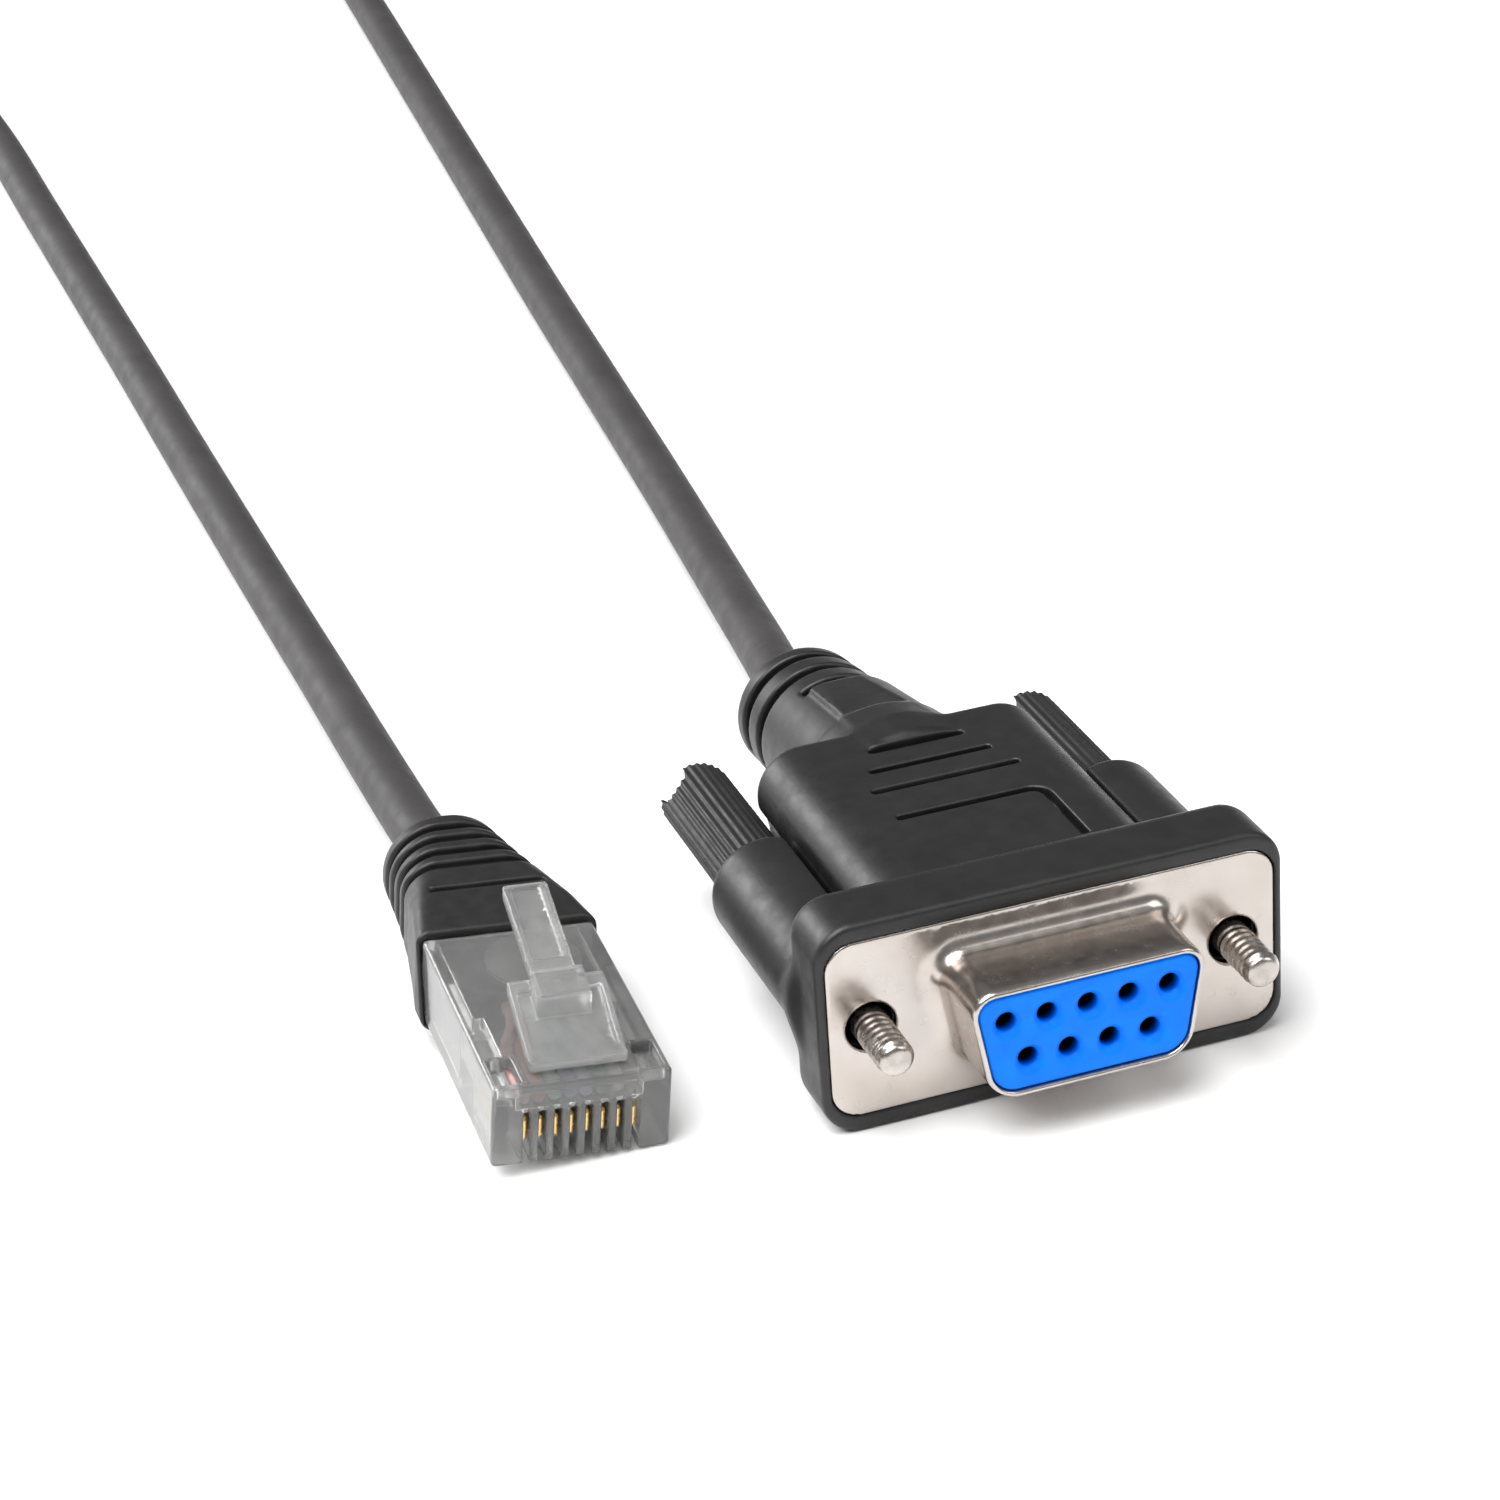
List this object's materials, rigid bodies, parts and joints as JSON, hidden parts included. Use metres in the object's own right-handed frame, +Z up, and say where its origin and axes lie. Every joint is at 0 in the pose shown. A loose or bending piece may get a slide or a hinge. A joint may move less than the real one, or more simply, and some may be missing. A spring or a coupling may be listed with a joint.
{
  "type": "serial cable",
  "caption": "Round dark serial cable with a nine-way D socket connector and thumbscrews at one end and a clear modular plug with a latch at the other, its middle wound in a flat coil.",
  "frame": {"origin": "on the floor, under the middle of the D connector with its hood and strain relief, the cable and the plug left out", "axes": "+Z up; -Y the way the socket face looks; +Y the way the cable leaves the hood; +X to the right seen from the front"},
  "size_m": [0.069, 0.3611, 0.015],
  "materials": {
    "hood_plastic": "satin moulded black",
    "nickel_plate": "satin nickel plating",
    "blue_plastic": "moulded blue",
    "gold_contact": "thin gold plating",
    "clear_plastic": "clear moulded plastic",
    "boot_plastic": "satin moulded black",
    "cable_jacket": "matt dark grey jacket",
    "wire_1": "coloured wire insulation",
    "wire_2": "coloured wire insulation",
    "wire_3": "coloured wire insulation",
    "wire_4": "coloured wire insulation",
    "wire_5": "coloured wire insulation",
    "wire_6": "coloured wire insulation",
    "wire_7": "coloured wire insulation",
    "wire_8": "coloured wire insulation"
  },
  "bodies": {
    "cable_and_connectors": {"connector_hood": "hood_plastic", "shell_plate": "nickel_plate", "socket_block": "blue_plastic", "socket_contact_1": "gold_contact", "socket_contact_2": "gold_contact", "socket_contact_3": "gold_contact", "socket_contact_4": "gold_contact", "socket_contact_5": "gold_contact", "socket_contact_6": "gold_contact", "socket_contact_7": "gold_contact", "socket_contact_8": "gold_contact", "socket_contact_9": "gold_contact", "plug_housing": "clear_plastic", "plug_boot": "boot_plastic", "plug_contact_1": "gold_contact", "plug_contact_2": "gold_contact", "plug_contact_3": "gold_contact", "plug_contact_4": "gold_contact", "plug_contact_5": "gold_contact", "plug_contact_6": "gold_contact", "plug_contact_7": "gold_contact", "plug_contact_8": "gold_contact", "plug_wire_1": "wire_1", "plug_wire_2": "wire_2", "plug_wire_3": "wire_3", "plug_wire_4": "wire_4", "plug_wire_5": "wire_5", "plug_wire_6": "wire_6", "plug_wire_7": "wire_7", "plug_wire_8": "wire_8", "cable_socket_run": "cable_jacket", "cable_coil": "cable_jacket", "cable_plug_run": "cable_jacket"},
    "left_thumbscrew": {"left_screw": "nickel_plate", "left_thumb_knob": "hood_plastic"},
    "right_thumbscrew": {"right_screw": "nickel_plate", "right_thumb_knob": "hood_plastic"},
    "latch": {"plug_latch": "clear_plastic"}
  },
  "joints": [
    {"name": "left_thumbscrew_turn", "type": "hinge", "parent": "cable_and_connectors", "child": "left_thumbscrew", "pos_m": [-0.01249, 0.00475, 0.0075], "axis": [0, 1, 0], "continuous": true},
    {"name": "right_thumbscrew_turn", "type": "hinge", "parent": "cable_and_connectors", "child": "right_thumbscrew", "pos_m": [0.01249, 0.00475, 0.0075], "axis": [0, 1, 0], "continuous": true},
    {"name": "latch_press", "type": "hinge", "parent": "cable_and_connectors", "child": "latch", "pos_m": [-0.03035, -0.01536, 0.00683], "axis": [0.9942, -0.0258, -0.1044], "range_deg": [-14, 0], "stiffness_Nm_per_rad": 0.05}
  ]
}
